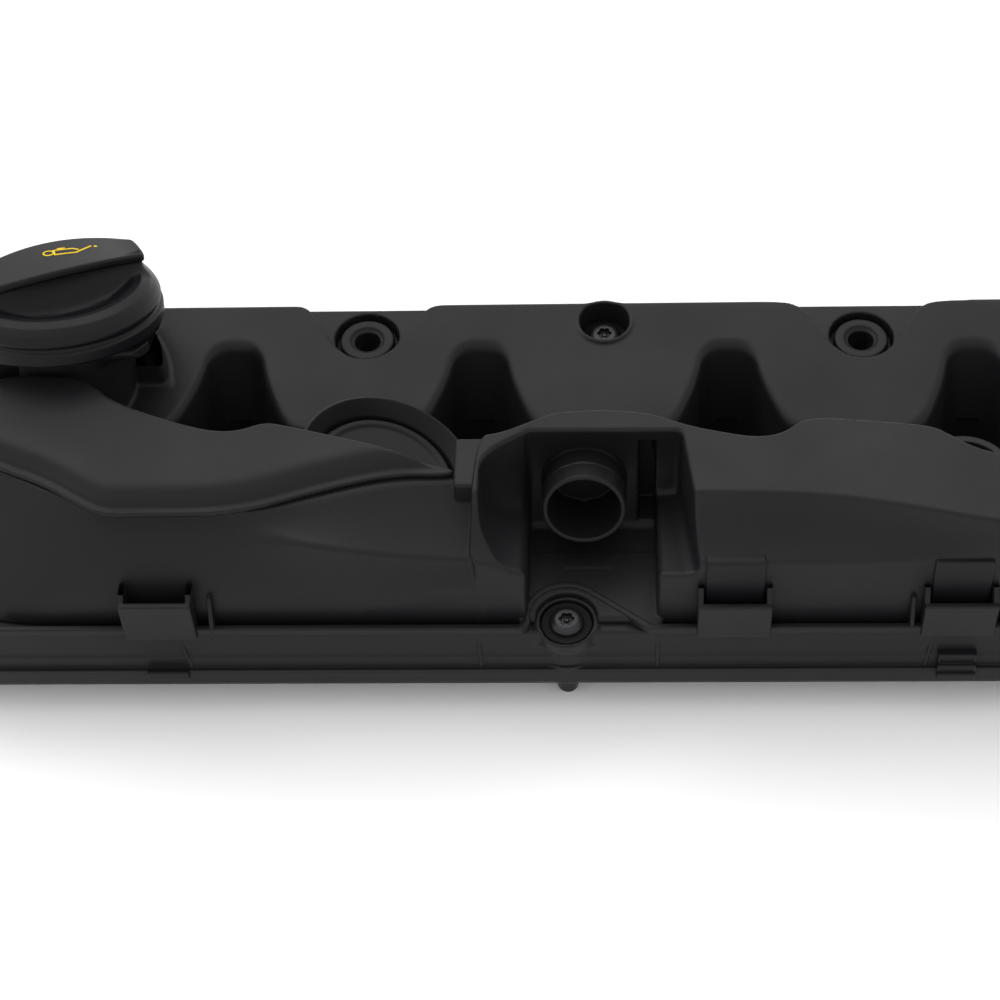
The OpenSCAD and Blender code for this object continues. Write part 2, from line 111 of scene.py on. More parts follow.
def smin(a, b, k):
    return -smax(-a, -b, k)


def smooth_outline(points, rounds=3, closed=True):
    """Corner cutting: each round replaces a corner by two points."""
    p = np.array(points, float)
    for _ in range(rounds):
        q = np.roll(p, -1, 0) if closed else p[1:]
        p0 = p if closed else p[:-1]
        cut = np.stack([0.75 * p0 + 0.25 * q, 0.25 * p0 + 0.75 * q], 1).reshape(-1, 2)
        p = cut if closed else np.vstack([p[:1], cut, p[-1:]])
    return p


class Outline:
    """Signed distance to a closed outline in a plane, kept on a fine grid."""

    def __init__(self, points, step=0.75, margin=14.0):
        p = np.asarray(points, float)
        self.low = p.min(0) - margin
        self.step = step
        self.shape = np.ceil((p.max(0) + margin - self.low) / step).astype(int) + 1
        u = self.low[0] + step * np.arange(self.shape[0])[:, None]
        v = self.low[1] + step * np.arange(self.shape[1])[None, :]
        nearest = np.full(self.shape, 1e9)
        inside = np.zeros(self.shape, bool)
        for a, b in zip(p, np.roll(p, -1, 0)):
            e = b - a
            t = np.clip(((u - a[0]) * e[0] + (v - a[1]) * e[1]) / max(e @ e, 1e-9), 0, 1)
            gap = (u - a[0] - t * e[0]) ** 2 + (v - a[1] - t * e[1]) ** 2
            nearest = np.minimum(nearest, gap)
            if a[1] != b[1]:
                crossing = a[0] + (v - a[1]) * e[0] / e[1]
                inside ^= ((a[1] > v) != (b[1] > v)) & (u < crossing)
        distance = np.sqrt(nearest)
        self.grid = np.where(inside, -distance, distance).astype(np.float32)

    def __call__(self, u, v):
        fu = np.clip((u - self.low[0]) / self.step, 0, self.shape[0] - 1.001)
        fv = np.clip((v - self.low[1]) / self.step, 0, self.shape[1] - 1.001)
        i = fu.astype(np.int32)
        j = fv.astype(np.int32)
        fu = fu - i
        fv = fv - j
        g = self.grid
        low = g[i, j] * (1 - fu) + g[i + 1, j] * fu
        high = g[i, j + 1] * (1 - fu) + g[i + 1, j + 1] * fu
        return low * (1 - fv) + high * fv


class Profile:
    """A smooth curve value(x) through a few given points."""

    def __init__(self, points, rounds=3):
        p = smooth_outline(points, rounds, closed=False)
        self.x, self.y = p[:, 0], p[:, 1]

    def __call__(self, x):
        return np.interp(x, self.x, self.y).astype(np.float32)


def rounded_rect(x0, x1, y0, y1, r, x, y):
    dx = np.abs(x - (x0 + x1) / 2) - (x1 - x0) / 2 + r
    dy = np.abs(y - (y0 + y1) / 2) - (y1 - y0) / 2 + r
    outside = np.sqrt(np.maximum(dx, 0) ** 2 + np.maximum(dy, 0) ** 2)
    return outside + np.minimum(np.maximum(dx, dy), 0) - r


def slab(z, z0, z1):
    return np.abs(z - (z0 + z1) / 2) - (z1 - z0) / 2


def disc(x, y, centre, r):
    return np.sqrt((x - centre[0]) ** 2 + (y - centre[1]) ** 2) - r


def to_neck(x, y, z):
    """Coordinates in the tilted frame of the filler neck."""
    c, s = math.cos(NECK_TILT), math.sin(NECK_TILT)
    x, y, z = x - NECK_CENTRE[0], y - NECK_CENTRE[1], z - NECK_CENTRE[2]
    return x, c * y + s * z, -s * y + c * z


def to_valve(x, y, z):
    """Coordinates in the tilted frame of the breather valve."""
    c, s = math.cos(VALVE_TILT), math.sin(VALVE_TILT)
    x, y, z = x - VALVE_CENTRE[0], y - VALVE_CENTRE[1], z - VALVE_CENTRE[2]
    return c * x - s * z, y, s * x + c * z


def to_pipe(x, y, z):
    """(distance from the pipe's axis, distance along it)."""
    c, s = math.cos(PIPE_TILT), math.sin(PIPE_TILT)
    x, y, z = x - PIPE_BASE[0], y - PIPE_BASE[1], z - PIPE_BASE[2]
    along = -c * y + s * z
    return np.sqrt(np.maximum(x * x + y * y + z * z - along * along, 0)), along


def ruled(y, z, sy, sz, ry, rz, sag):
    """Distance to a hollow or flat strip from (sy, sz) at the top to (ry, rz) below it.

    Positive in front of the strip. sag is how far the middle lies behind the chord.
    """
    cy, cz = sy - ry, sz - rz
    chord = np.sqrt(cy * cy + cz * cz)
    sag = np.maximum(sag, 0.05)
    radius = (chord * chord / 4 + sag * sag) / (2 * sag)
    ny, nz = -cz / chord, cy / chord
    reach = radius - sag
    oy = (sy + ry) / 2 + ny * reach
    oz = (sz + rz) / 2 + nz * reach
    return radius - np.sqrt((y - oy) ** 2 + (z - oz) ** 2)


# ---------- meshing ----------
BLOCK = 4
CORNERS = np.array([(i, j, k) for i in (0, 1) for j in (0, 1) for k in (0, 1)])
EDGES = [(a, b) for a in range(8) for b in range(a + 1, 8) if abs(CORNERS[a] - CORNERS[b]).sum() == 1]


def surface(field, low, high, cell):
    """Vertices, quads and normals of field = 0, by surface nets on a sparse grid."""
    low = np.array(low, float)
    blocks = np.ceil((np.array(high) - low) / (BLOCK * cell)).astype(int)
    index = np.indices(blocks).reshape(3, -1).T
    centre = low + (index + 0.5) * BLOCK * cell
    near = np.abs(evaluate(field, centre)) < BLOCK * cell * 1.1
    index = index[near]
    side = BLOCK + 1
    samples = np.indices((side,) * 3).reshape(3, -1).T
    nodes = (index[:, None] * BLOCK + samples[None]).reshape(-1, 3)
    value = evaluate(field, low + nodes * cell).reshape(len(index), side, side, side)
    corner = [value[:, i:i + BLOCK, j:j + BLOCK, k:k + BLOCK] for i, j, k in CORNERS]
    inside = sum((c < 0).astype(np.int8) for c in corner)
    crossing = np.nonzero((inside > 0) & (inside < 8))
    at = np.stack([c[crossing] for c in corner], 1)
    cells = index[crossing[0]] * BLOCK + np.stack(crossing[1:], 1)
    total = np.zeros((len(cells), 3))
    count = np.zeros(len(cells))
    for a, b in EDGES:
        va, vb = at[:, a], at[:, b]
        hit = (va < 0) != (vb < 0)
        t = np.where(hit, va / np.where(hit, va - vb, 1), 0)
        total += hit[:, None] * (CORNERS[a] + t[:, None] * (CORNERS[b] - CORNERS[a]))
        count += hit
    points = low + (cells + total / count[:, None]) * cell
    size = blocks * BLOCK + 2
    ids = (cells[:, 0] * size[1] + cells[:, 1]) * size[2] + cells[:, 2]
    order = np.argsort(ids)
    ids, points = ids[order], points[order]
    quads = np.vstack([axis_quads(value, index, axis, ids, size) for axis in range(3)])
    return pull_on(field, points, cell) + (quads,)


def axis_quads(value, index, axis, ids, size):
    """Quads round the grid edges that run along one axis and cross the surface."""
    first = value[:, :BLOCK, :BLOCK, :BLOCK]
    ahead = [slice(None)] + [slice(1, BLOCK + 1) if a == axis else slice(0, BLOCK) for a in range(3)]
    second = value[tuple(ahead)]
    hit = np.nonzero((first < 0) != (second < 0))
    leaving = first[hit] < 0
    base = index[hit[0]] * BLOCK + np.stack(hit[1:], 1)
    u, v = (axis + 1) % 3, (axis + 2) % 3
    ring = []
    for du, dv in ((-1, -1), (0, -1), (0, 0), (-1, 0)):
        c = base.copy()
        c[:, u] += du
        c[:, v] += dv
        ring.append((c[:, 0] * size[1] + c[:, 1]) * size[2] + c[:, 2])
    ring = np.stack(ring, 1)
    place = np.minimum(np.searchsorted(ids, ring), len(ids) - 1)
    whole = (ids[place] == ring).all(1)
    place[~leaving] = place[~leaving, ::-1]
    return place[whole]


def evaluate(field, points, chunk=400000):
    parts = [field(*points[i:i + chunk].T.astype(np.float32)) for i in range(0, len(points), chunk)]
    return np.concatenate(parts).astype(np.float32)


def gradient(field, points, h):
    g = np.empty_like(points)
    for a in range(3):
        step = np.zeros(3)
        step[a] = h
        g[:, a] = (evaluate(field, points + step) - evaluate(field, points - step)) / (2 * h)
    return g


def pull_on(field, points, cell):
    """Moves points onto the surface and gives its normals there."""
    for _ in range(2):
        g = gradient(field, points, 0.1)
        length = np.maximum((g * g).sum(1), 0.05)
        shift = -g * (evaluate(field, points) / length)[:, None]
        points = points + np.clip(shift, -0.5 * cell, 0.5 * cell)
    g = gradient(field, points, 0.12)
    return points, g / np.maximum(np.linalg.norm(g, axis=1), 1e-6)[:, None]


def moulded(name, field, low, high, cell, body, material, replaced, slot):
    """A piece made from a field."""
    points, normals, quads = surface(field, low, high, cell)
    mesh = bpy.data.meshes.new(name)
    mesh.vertices.add(len(points))
    mesh.vertices.foreach_set("co", (points * MM).astype(np.float32).ravel())
    mesh.loops.add(quads.size)
    mesh.loops.foreach_set("vertex_index", quads.astype(np.int32).ravel())
    mesh.polygons.add(len(quads))
    mesh.polygons.foreach_set("loop_start", np.arange(0, quads.size, 4, dtype=np.int32))
    mesh.polygons.foreach_set("use_smooth", np.ones(len(quads), bool))
    mesh.update(calc_edges=True)
    mesh.validate()
    mesh.normals_split_custom_set_from_vertices(normals.astype(np.float32))
    print(name, len(points), "points")
    return place(name, mesh, body, material, replaced, slot)


def place(name, mesh, body, material, replaced, slot):
    """Links a mesh as a piece that rides on a body and stands for CAD nodes."""
    piece = bpy.data.objects.new(name, mesh)
    bpy.context.scene.collection.objects.link(piece)
    mesh.materials.append(material)
    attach(piece, body)
    if replaced:
        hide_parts(*replaced)
    return piece


# ---------- shapes of the shells ----------
REAR_EDGE = [(207, -27), (190, -29), (170, -37), (150, -41), (131, -39), (122, -36), (114, -30),
             (108, -26), (88, -24), (67, -22), (59, -29.5), (50, -31), (40, -29), (28, -26),
             (12, -19), (-15, -19), (-25, -24), (-35, -29), (-43, -30)]
LID_REAR = [(-49, -40.5), (-54, -39), (-108, -23.5), (-114, -23), (-123, -27), (-134, -26),
            (-155, -18), (-166, -12), (-172, -6), (-179, -2), (-204, -1), (-214, -4)]
LID_FRONT = [(-214, -32), (-200, -39), (-184, -46), (-170, -55.5), (-163, -58.8), (-154, -58.8),
             (-120, -58.5), (-93, -48.5), (-70, -42), (-51, -42.5)]
COVE = [(0, 32), (5.5, 31.6), (9, 27.5), (10.2, 22), (12, 16), (14.3, 10.5), (17, 4.5), (21, -1),
        (27, -4), (36, -5.5), (36, -34), (-36, -34), (-36, -5.5), (-27, -4), (-21, -0.5), (-17, 4.5),
        (-14.3, 10.5), (-12, 16), (-10.2, 22), (-9, 27.5), (-5.5, 31.6)]
BUSH_POCKET = [(-46, 90), (-46, 53), (-29, 52), (-22.5, 50), (-18.5, 45), (-14.5, 38), (-10.5, 31.6),
               (-5.5, 27.9), (0, 26.9), (5.5, 27.9), (10.5, 31.6), (14.5, 38), (18.5, 45), (22.5, 50),
               (29, 52), (46, 53), (46, 90)]

chamber_right = Outline(smooth_outline(REAR_EDGE + [(-44, -95), (215, -95), (208, -70), (208, -30)], 3))
chamber_left = Outline(smooth_outline(LID_REAR + [(-214, -70), (-204, -90), (-40, -95), (-42, -45)], 3))
lid_plan = Outline(smooth_outline(LID_REAR + LID_FRONT, 3))
lid_rear_side = Outline(smooth_outline(LID_REAR + [(-226, -8), (-226, -70), (-36, -70), (-36, -46)], 3))
lid_front_side = Outline(smooth_outline([(-214, 14)] + LID_FRONT + [(-36, -43), (-36, 14)], 3))

# Foot of the chamber: straight along the front, with an arc round the middle bolt.
BOLT_ARC = [(-13 + 13.4 * math.cos(math.radians(a)), -72 + 13.4 * math.sin(math.radians(a)))
            for a in range(190, 52, -6)]
FOOT = [(-206, -76.2), (-28.5, -76.2)] + BOLT_ARC + [(14.9, -76.2), (206, -76.2), (206, -45), (-206, -45)]
foot_plan = Outline(FOOT, step=0.4)
cove_plan = Outline(smooth_outline(COVE, 3), step=0.5)
pocket_plan = Outline(smooth_outline(BUSH_POCKET, 3), step=0.5)

# Where the front of the chamber folds, as functions of X.
edge_y = Profile([(-60, -55), (31, -55), (70, -56), (100, -61.5), (126, -68), (150, -69.2), (215, -69.2)])
cove_low_z = Profile([(-60, 54), (77, 54), (110, 55.5), (130, 60), (150, 62), (215, 62)])
cove_sag = Profile([(-60, 3.4), (77, 3.4), (105, 2.4), (132, 0.1), (215, 0.1)])
seam_y = Profile([(-230, -58.5), (-120, -58.5), (-93, -48.5), (-70, -42.5), (-49, -42), (-20, -42)])
ridge_y = Profile([(-230, -60), (-128, -60), (-123, -60), (-108, -64.6), (-92, -69.2), (-75, -70.1),
                   (-20, -70.4)])
ridge_z = Profile([(-230, 61.5), (-128, 61.5), (-123, 60.5), (-108, 60), (-92, 59), (-75, 55.7),
                   (-57, 53.1), (-20, 51.6)])
lean_z = Profile([(-230, 44), (-128, 44), (-100, 46), (-75, 49), (-20, 50)])
ridge_soft = Profile([(-230, 12), (-128, 9), (-110, 3), (-95, 1.6), (-20, 1.4)])


def lower_wall(y, z):
    """Front wall of the chamber above the weld lip."""
    return (-(y + 72.5) + 0.084 * (z - LIP_Z)) * 0.9965


def right_chamber(x, y, z):
    """Chamber right of the pipe, with the long hollow along its front edge."""
    plan = chamber_right(x, y) - 0.04 * (TOP_Z - z)
    hollow = ruled(y, z, edge_y(x), TOP_Z, -70.2 + 0 * x, cove_low_z(x), cove_sag(x))
    front = smax(lower_wall(y, z), hollow, 1.4)
    return smax(smax(plan, front, 1.0), z - TOP_Z, 1.6)


def left_chamber(x, y, z):
    """Chamber left of the pipe, whose front slopes from the lid's seam down to a ridge."""
    plan = chamber_left(x, y) - 0.04 * (SEAM_Z - z)
    lean = ruled(y, z, ridge_y(x), ridge_z(x), -71.2 + 0 * x, lean_z(x), 0.3)
    slope = ruled(y, z, seam_y(x), SEAM_Z + 1.5, ridge_y(x), ridge_z(x), 1.6)
    front = smax(lower_wall(y, z), lean, 9.0)
    front = smax(front, slope, ridge_soft(x))
    corner = -0.361 * (x + 163) - 0.668 * (y + 59) + 0.651 * (z - SEAM_Z)
    front = smax(front, corner, 9.0)
    return smax(smax(plan, front, 1.0), z - SEAM_Z, 0.8)


def recess(x, y, z):
    """The opening round the breather pipe, negative inside."""
    _, along = to_pipe(x, y, z)
    back = smax(-1.5 - along, y + 28.4 - 0.32 * (71 - z), 6.0)
    right = x - 25.5 - 5.0 * np.clip((-29 - y) / 40, 0, 1)
    sweep = np.clip((-29 - y) / 16, 0, 1)
    left = 0.7 * (-26 - 15.0 * sweep * (2 - sweep) - x)
    ledge = 39.8 - 0.1875 * (y + 30) - z
    upper = smax(smax(left, ledge, 20.0), smax(right, ledge, 5.0), 2.0)
    channel = smax(np.abs(x + 4.25) - 21.75, LIP_Z - z, 1.0)
    return smax(smin(upper, channel, 2.5), back, 2.5)


def housing_field(x, y, z):
    """Separator housing with its recess and the rooms for the valve, caps, bolts and neck."""
    block = smax(rounded_rect(-49.5, -27, -50, -29.5, 1.5, x, y), z - 69.5, 1.2)
    d = smin(right_chamber(x, y, z), left_chamber(x, y, z), 1.0)
    d = smin(d, block, 0.8)
    d = smax(d, -recess(x, y, z), 2.0)
    d = smin(d, recess_floor(x, y, z), 0.6)
    d = smax(d, DECK_Z + 0.1 - z, 0.5)
    vx, vy, vz = to_valve(x, y, z)
    pocket = np.maximum(np.sqrt(vx * vx + vy * vy) - VALVE_R - 0.8, vz - 2.5)
    d = smax(d, -np.maximum(pocket, -54.0 - y), 0.8)
    d = smax(d, -np.maximum(disc(x, y, RELIEF, RELIEF_R + 0.7), z - 55), 0.8)
    radius, along = to_pipe(x, y, z)
    d = smax(d, -np.maximum(radius - PIPE_BORE_R, slab(along, -6, 14)), 0.5)
    slot = np.maximum(np.abs(x - 14.3) - 2.9, np.maximum(slab(z, 29, 64.5), slab(y, -40, -21)))
    d = smax(d, -slot, 0.6)
    for p in FRONT_BOLTS + END_BOLTS:
        d = smax(d, -disc(x, y, p, COLLAR_R), 0.8)
    nx, ny, _ = to_neck(x, y, z)
    return smax(d, -(np.sqrt(nx * nx + ny * ny) - NECK_CLEARANCE_R), 0.8)


def recess_floor(x, y, z):
    """Floor of the recess, whose front edge runs round the bolt and then slants down."""
    floor = np.maximum(np.abs(x + 4.75) - 24, np.maximum(foot_plan(x, y), y + 27))
    pad = np.abs(np.maximum(np.abs(x + 5.5) - 8, np.abs(y + 47.1) - 4.4)) - 0.35
    top = LIP_Z - 0.1 + 0.6 * np.clip((y + 37.7) / 0.6, 0, 1) + 0.25 * np.clip(-pad / 0.3, 0, 1)
    return smax(floor, z - top, 0.6)


def coves(x, y, z):
    """The injector coves, negative inside: leaning bells that are open to the front."""
    d = np.full_like(x, 1e3)
    for cx in INJECTOR_X:
        d = np.minimum(d, cove_plan(x - cx, y + 0.46 * (46 - z)))
    return d


def panel(x, y, z):
    """The rear panel with its coves, bush pockets and rear wall."""
    front = -y - 4.2 - 0.03 * (43 - z)
    top = (z - 43.7 - 0.12 * (y + 3)) * 0.993
    d = smax(smax(front, top, 2.2), -coves(x, y, z), 3.0)
    rear = 0.973 * (y - 50.3 - 0.009 * (x + 150)) + 0.231 * (z - 50)
    d = smax(d, rear, 2.6)
    for bx, _ in BUSHES:
        d = smax(d, -smax(pocket_plan(x - bx, y), 45.5 - z, 1.0), 0.8)
    return d


def injector_seat(x, y, z, cx):
    """(distance from the injector's axis, height along it)."""
    c, s = math.cos(INJECTOR_TILT), math.sin(INJECTOR_TILT)
    v, w = y - INJECTOR_Y, z - VALLEY_Z
    return np.sqrt((x - cx) ** 2 + (c * v - s * w) ** 2), s * v + c * w


def base_outside(x, y, z):
    """Flange, front deck, valley, rear panel, the neck's cowl and the bolt bosses."""
    flange = smax(rounded_rect(*FLANGE_EDGE, x, y), slab(z, 0, 7), 0.8)
    plan = rounded_rect(*WALL_FOOT, x, y) + WALL_DRAFT * (z - 8)
    deck = smax(smax(plan, z - DECK_Z, 1.0), y + 11 - 0.2 * (z - VALLEY_Z), 2.0)
    low = np.maximum(z - VALLEY_Z, plan)
    rear = smax(plan, panel(x, y, z), 3.0)
    d = smin(smin(deck, low, 2.5), rear, 2.5)
    side = rounded_rect(-154.5, -151.5, -9, 4, 1, x, y)
    d = smin(d, smax(side, z - 41, 1.0), 1.5)
    nx, ny, nz = to_neck(x, y, z)
    radius = np.sqrt(nx * nx + ny * ny)
    cowl = smax(smax(radius - 31.0 - 0.2 * np.maximum(-nz - 14, 0), nz + 13.6, 1.5), -ny - 1.0, 2.0)
    column = np.maximum(radius - 23.3, nz + 17)
    d = smin(d, np.maximum(smin(cowl, column, 1.0), VALLEY_Z - 6 - z), 2.0)
    d = smin(d, flange, 0.8)
    for p in REAR_BOLTS:
        d = smin(d, smax(disc(x, y, p, 10.4), z - 49.2, 1.0), 0.8)
    for p in FRONT_BOLTS + END_BOLTS:
        boss = smax(disc(x, y, p, 7.3), z - 23, 1.0)
        collar = smax(disc(x, y, p, COLLAR_R), slab(z, 19, 24.2), 1.0)
        d = smin(d, smin(boss, collar, 1.0), 2.5)
    return d


def base_cavity(x, y, z):
    """Hollow underside, negative inside, less what stands in it round the holes."""
    hollow = rounded_rect(*HOLLOW_FOOT, x, y) + WALL_DRAFT * np.maximum(z - 8, 0)
    roof = smin(smax(z - 21, y + 14.2, 2.0), z - 9, 2.0)
    under_panel = smax(panel(x, y, z) + 3.0, -(y - 3), 2.0)
    roof = smin(roof, under_panel, 2.0)
    cavity = smax(hollow, roof, 2.0)
    for cx in INJECTOR_X:
        cavity = smax(cavity, 13.4 - injector_seat(x, y, z, cx)[0], 1.0)
    for p in FRONT_BOLTS + END_BOLTS:
        cavity = smax(cavity, -disc(x, y, p, 9.5), 1.5)
    for p in REAR_BOLTS:
        cavity = smax(cavity, -disc(x, y, p, 11.8), 1.5)
    for p in BUSHES:
        cavity = smax(cavity, -np.maximum(disc(x, y, p, 13.5), 33 - z), 1.0)
    cavity = smax(cavity, -disc(x, y, (0, 0), 6), 1.0)
    nx, ny, _ = to_neck(x, y, z)
    return smax(cavity, -(np.sqrt(nx * nx + ny * ny) - 26.5), 1.5)


def base_field(x, y, z):
    """Base cover: the outside less the cavity, the holes and the valve's room."""
    d = smax(base_outside(x, y, z), -base_cavity(x, y, z), 0.8)
    for cx in INJECTOR_X:
        r, w = injector_seat(x, y, z, cx)
        d = smin(d, smax(r - 10.4, slab(w, -3, 4), 0.8), 1.5)
        d = smax(d, -np.maximum(r - 8.45, slab(w, -30, 12)), 0.6)
    for points, seat in ((FRONT_BOLTS + END_BOLTS, LOW_SEAT), (REAR_BOLTS, HIGH_SEAT)):
        for p in points:
            hole = np.minimum(disc(x, y, p, 5.1), np.maximum(disc(x, y, p, 8.9), seat - z))
            d = smax(d, -hole, 0.7)
    for p in BUSHES:
        hole = np.minimum(disc(x, y, p, 6.5), np.maximum(disc(x, y, p, 11.5), 40 - z))
        d = smax(d, -np.maximum(hole, 30 - z), 0.6)
    vx, vy, vz = to_valve(x, y, z)
    d = smax(d, -np.maximum(np.sqrt(vx * vx + vy * vy) - VALVE_R - 0.6, -9 - vz), 0.8)
    nx, ny, nz = to_neck(x, y, z)
    return smax(d, -np.maximum(np.sqrt(nx * nx + ny * ny) - 22, -60 - nz), 0.6)


def lid_field(x, y, z):
    """Duct lid: crisp along the rear edge, with a wide roll along the front."""
    flange = smax(lid_plan(x, y), slab(z, SEAM_Z + 0.1, SEAM_Z + 2.2), 0.7)
    front = smax(lid_front_side(x, y) + 2.2, z - TOP_Z, 10.0)
    body = smax(front, smax(lid_rear_side(x, y) + 1.0, z - TOP_Z, 1.2), 1.2)
    body = smax(body, x + 53.0, 4.0)
    d = smin(flange, np.maximum(body, SEAM_Z + 0.1 - z), 0.8)
    nx, ny, _ = to_neck(x, y, z)
    return smax(d, -(np.sqrt(nx * nx + ny * ny) - NECK_CLEARANCE_R), 0.8)


# ---------- shapes of the crisp parts ----------
def rounded(points, r):
    """Closed outline whose corners are replaced by small curves."""
    p = np.array(points, float)
    before, after = np.roll(p, 1, 0), np.roll(p, -1, 0)
    out = []
    for a, b, c in zip(before, p, after):
        ra = min(r, np.linalg.norm(a - b) / 2)
        rc = min(r, np.linalg.norm(c - b) / 2)
        start = b + (a - b) / np.linalg.norm(a - b) * ra
        end = b + (c - b) / np.linalg.norm(c - b) * rc
        for t in (0.0, 0.33, 0.67, 1.0):
            out.append((1 - t) ** 2 * start + 2 * t * (1 - t) * b + t * t * end)
    return out


def turned(profile, r=0.4, step=0.15):
    """Section of a turned piece as a field of (radius, height)."""
    return Outline(rounded(profile, r), step=step, margin=4.0)


def bar(x, y, z, low, high, r):
    """Block with rounded edges."""
    d = [np.abs(v - (a + b) / 2) - (b - a) / 2 + r for v, a, b in zip((x, y, z), low, high)]
    outside = np.sqrt(sum(np.maximum(v, 0) ** 2 for v in d))
    return outside + np.minimum(np.maximum(np.maximum(d[0], d[1]), d[2]), 0) - r


def stroke(u, v, a, b, r):
    """Line with round ends in a plane."""
    e = (b[0] - a[0], b[1] - a[1])
    t = np.clip(((u - a[0]) * e[0] + (v - a[1]) * e[1]) / (e[0] ** 2 + e[1] ** 2), 0, 1)
    return np.sqrt((u - a[0] - t * e[0]) ** 2 + (v - a[1] - t * e[1]) ** 2) - r


def pipe_field(x, y, z):
    """Breather pipe with a foot ring and a thin ridge."""
    radius, along = to_pipe(x, y, z)
    wall = smax(radius - PIPE_R, along - 16, 0.7)
    foot = smax(radius - 14.5, along - 0.2, 0.6)
    ridge = smax(radius - 14.3, slab(along, 7.6, 8.4), 0.3)
    d = smin(smin(wall, foot, 1.0), ridge, 0.5)
    d = smax(d, PIPE_BORE_R - radius, 0.6)
    return np.maximum(d, -2.6 - along)


VALVE_SECTION = turned([(-3, -6.0), (21.3, -5.4), (22.4, -4.5), (24.2, -4.5), (24.5, -7.4), (25.6, -7.4),
                        (26, -5.0), (30.3, 0.1), (VALVE_R, -0.5), (VALVE_R, -5), (27.8, -8.6), (20, -8.6),
                        (18, -7.8), (-3, -8.0)], 0.3)
RELIEF_SECTION = turned([(-3, 49.6), (12.8, 49.8), (13.5, 51.6), (15.6, 51.6), (RELIEF_R, 51),
                         (RELIEF_R, 47), (14, 46), (13.5, 24.2), (11.5, 24.2), (11, 48), (-3, 48)], 0.3)
BUSH_SECTION = turned([(4.5, 31), (6.4, 31), (6.4, 40.2), (9.8, 40.2), (9.8, 43.6), (9.2, 44.4),
                       (6.2, 44.4), (5.6, 43.6), (4.5, 43.2)], 0.5)
NECK_SECTION = turned([(19.5, -46), (23.4, -46), (23.4, -12), (25.5, -9.6), (30, -9.4), (30, -7.5),
                       (19.5, -7.5)], 0.3)
NECK_FLANGE = turned([(19.5, -17), (23.5, -17), (25.5, -14.6), (34.2, -13.2), (34.2, -9.6), (30, -9.0),
                      (19.5, -9.0)], 0.3)
BOLT_SECTION = turned([(-3, 0), (5.9, 0), (5.9, 1.1), (5.3, 2.0), (3.9, 2.7), (-3, 2.9)], 0.5)
CAP_RIM = turned([(-3, -5), (31, -5), (31, -7.3), (34.9, -7.3), (35.5, -6.7), (35.5, -2.6), (34.3, -2.0),
                  (34.1, -0.8), (34.9, -0.3), (35, 1.0), (34.6, 1.9), (33.8, 3.4), (31.8, 5.6), (29, 6.9),
                  (26.2, 6.6), (23.4, 4.9), (20, 3), (14, 1.9), (-3, 1.5)], 0.45)


def valve_field(x, y, z):
    vx, vy, vz = to_valve(x, y, z)
    return VALVE_SECTION(np.sqrt(vx * vx + vy * vy), vz)


def relief_field(x, y, z):
    return RELIEF_SECTION(disc(x, y, RELIEF, 0), z)


def neck_field(x, y, z):
    nx, ny, nz = to_neck(x, y, z)
    radius = np.sqrt(nx * nx + ny * ny)
    flange = smax(NECK_FLANGE(radius, nz), -19.0 - ny, 3.0)
    return smin(NECK_SECTION(radius, nz), flange, 0.6)


def bush_field(x, y, z):
    return BUSH_SECTION(disc(x, y, (0, 0), 0), z)


def bolt_field(seat):
    """A bolt at the origin with a six-lobed socket; seat is the height its flange rests on."""
    def field(x, y, z):
        radius = np.sqrt(x * x + y * y)
        head = BOLT_SECTION(radius, z - seat)
        shank = smax(radius - 3.5, -12.4 - z, 0.6)
        tip = np.maximum(shank, z - seat - 1)
        cone = radius - 3.5 + 0.9 * np.maximum(-12.2 - z, 0)
        tip = smin(tip, np.maximum(cone, np.maximum(-15 - z, z)), 0.2)
        socket = radius - 2.2 - 0.3 * np.cos(6 * np.arctan2(y, x))
        d = smax(smin(head, tip, 0.3), -np.maximum(socket, seat + 0.9 - z), 0.3)
        dome = np.maximum(radius - 0.8, slab(z, seat + 0.5, seat + 1.7))
        return smin(d, dome, 0.4)
    return field


def cap_field(x, y, z):
    """Filler cap: a domed rim with an arched, tapering handle across it."""
    nx, ny, nz = to_neck(x, y, z)
    c, s = math.cos(HANDLE_TURN), math.sin(HANDLE_TURN)
    u, v = c * nx + s * ny, np.abs(-s * nx + c * ny)
    radius = np.sqrt(u * u + v * v)
    rim = CAP_RIM(radius, nz)
    half = 11.8 - 0.0055 * u * u
    spread = half - 1.7 + 4.0 * np.clip((12.5 - nz) / 9.5, 0, 1) ** 2
    web = smax(smax(v - spread, radius - 30.2, 1.5) * 0.8, nz - 14.2, 0.8)
    arch = nz + u * u / 240
    plate = smax(smax(v - half, radius - 30.9, 1.2), slab(arch, 13.9, 16.9), 1.1)
    return smin(smin(rim, web, 3.0), plate, 0.8)


